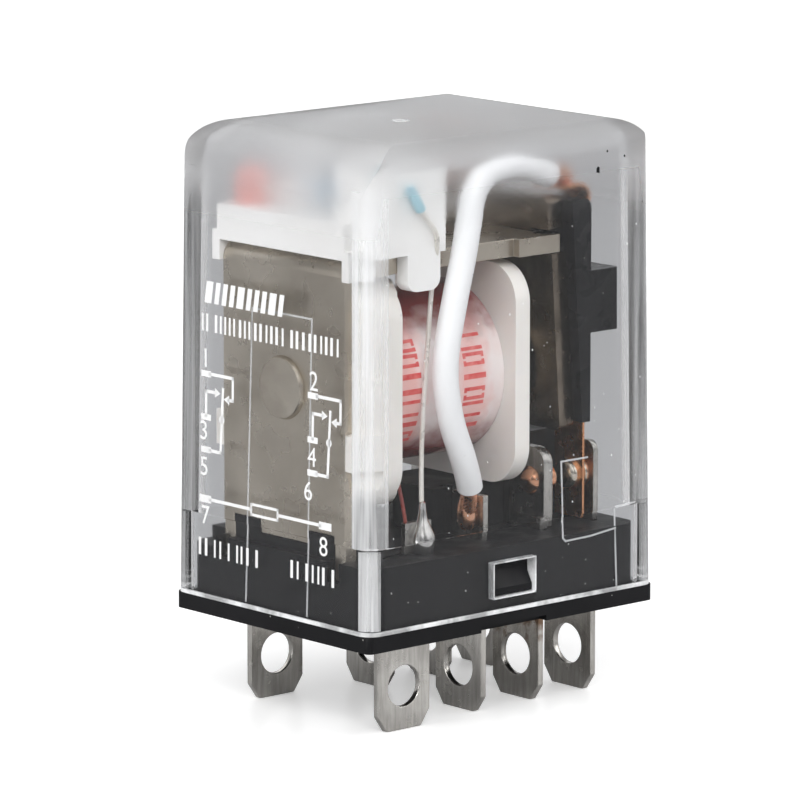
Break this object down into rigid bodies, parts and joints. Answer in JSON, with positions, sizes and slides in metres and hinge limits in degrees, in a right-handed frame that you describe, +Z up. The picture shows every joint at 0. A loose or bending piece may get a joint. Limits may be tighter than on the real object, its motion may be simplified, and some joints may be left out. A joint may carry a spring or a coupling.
{
  "type": "plug in relay",
  "caption": "Plug-in changeover relay with a clear clip-on cover, black base, round-eyelet blade terminals and a hinged armature driven by a coil.",
  "frame": {"origin": "centre of the base's underside, which sits on the socket", "axes": "+Z up through the cover, +X from the yoke's back plate towards the contacts, +Y across, towards the odd-numbered terminals"},
  "size_m": [0.0282, 0.0218, 0.043],
  "materials": {
    "clear_cover": "clear polycarbonate, lightly grained on top",
    "black_base": "moulded phenolic black",
    "black_block": "moulded black",
    "tinned_blade": "nickel-plated, finely scratched",
    "silver_contact": "silver alloy",
    "copper_rivet": "copper-backed rivet",
    "copper_spring": "bright copper alloy strip",
    "yoke_steel": "nickel-plated steel",
    "armature_steel": "nickel-plated steel",
    "core_iron": "plated iron",
    "ring_copper": "copper",
    "white_bobbin": "moulded white",
    "enamelled_wire": "red enamelled copper wire",
    "coil_tape": "clear tape over red print",
    "white_holder": "moulded white",
    "red_lamp": "translucent red",
    "blue_resistor": "lacquered blue",
    "tinned_wire": "tinned copper wire",
    "blue_sleeve": "pale blue sleeve",
    "solder": "bright solder",
    "white_tube": "smooth white tubing",
    "copper_braid": "braided copper",
    "spring_steel": "drawn spring wire"
  },
  "bodies": {
    "frame": {"base": "black_base", "bobbin": "white_bobbin", "braid_5": "copper_braid", "braid_6": "copper_braid", "braid_solder_5": "solder", "braid_solder_6": "solder", "braid_tube_5": "white_tube", "braid_tube_6": "white_tube", "closed_contact_1": "copper_rivet", "closed_contact_2": "copper_rivet", "closed_terminal_1": "tinned_blade", "closed_terminal_2": "tinned_blade", "coil_lead_7": "enamelled_wire", "coil_lead_8": "enamelled_wire", "coil_solder_7": "solder", "coil_solder_8": "solder", "coil_tape": "coil_tape", "coil_terminal_7": "tinned_blade", "coil_terminal_8": "tinned_blade", "coil_winding": "enamelled_wire", "common_terminal_5": "tinned_blade", "common_terminal_6": "tinned_blade", "core": "core_iron", "cover": "clear_cover", "indicator_lamp": "red_lamp", "lamp_holder": "white_holder", "lamp_lead_7": "tinned_wire", "lamp_lead_8": "tinned_wire", "lamp_link": "tinned_wire", "lamp_resistor": "blue_resistor", "lead_sleeve": "blue_sleeve", "open_contact_3": "copper_rivet", "open_contact_4": "copper_rivet", "open_terminal_3": "tinned_blade", "open_terminal_4": "tinned_blade", "return_spring": "spring_steel", "shading_ring": "ring_copper", "yoke": "yoke_steel"},
    "armature_unit": {"armature": "armature_steel", "contact_block": "black_block", "contact_spring_5": "copper_spring", "contact_spring_6": "copper_spring", "moving_contact_5": "silver_contact", "moving_contact_6": "silver_contact"}
  },
  "joints": [
    {"name": "armature_hinge", "type": "hinge", "parent": "frame", "child": "armature_unit", "pos_m": [0.0065, 0, 0.027], "axis": [0, 1, 0], "range_deg": [0, 3.8], "stiffness_Nm_per_rad": 0.01, "springref_deg": -11.46, "deforming": ["braid_5", "braid_6", "braid_tube_5", "braid_tube_6", "return_spring"]}
  ]
}
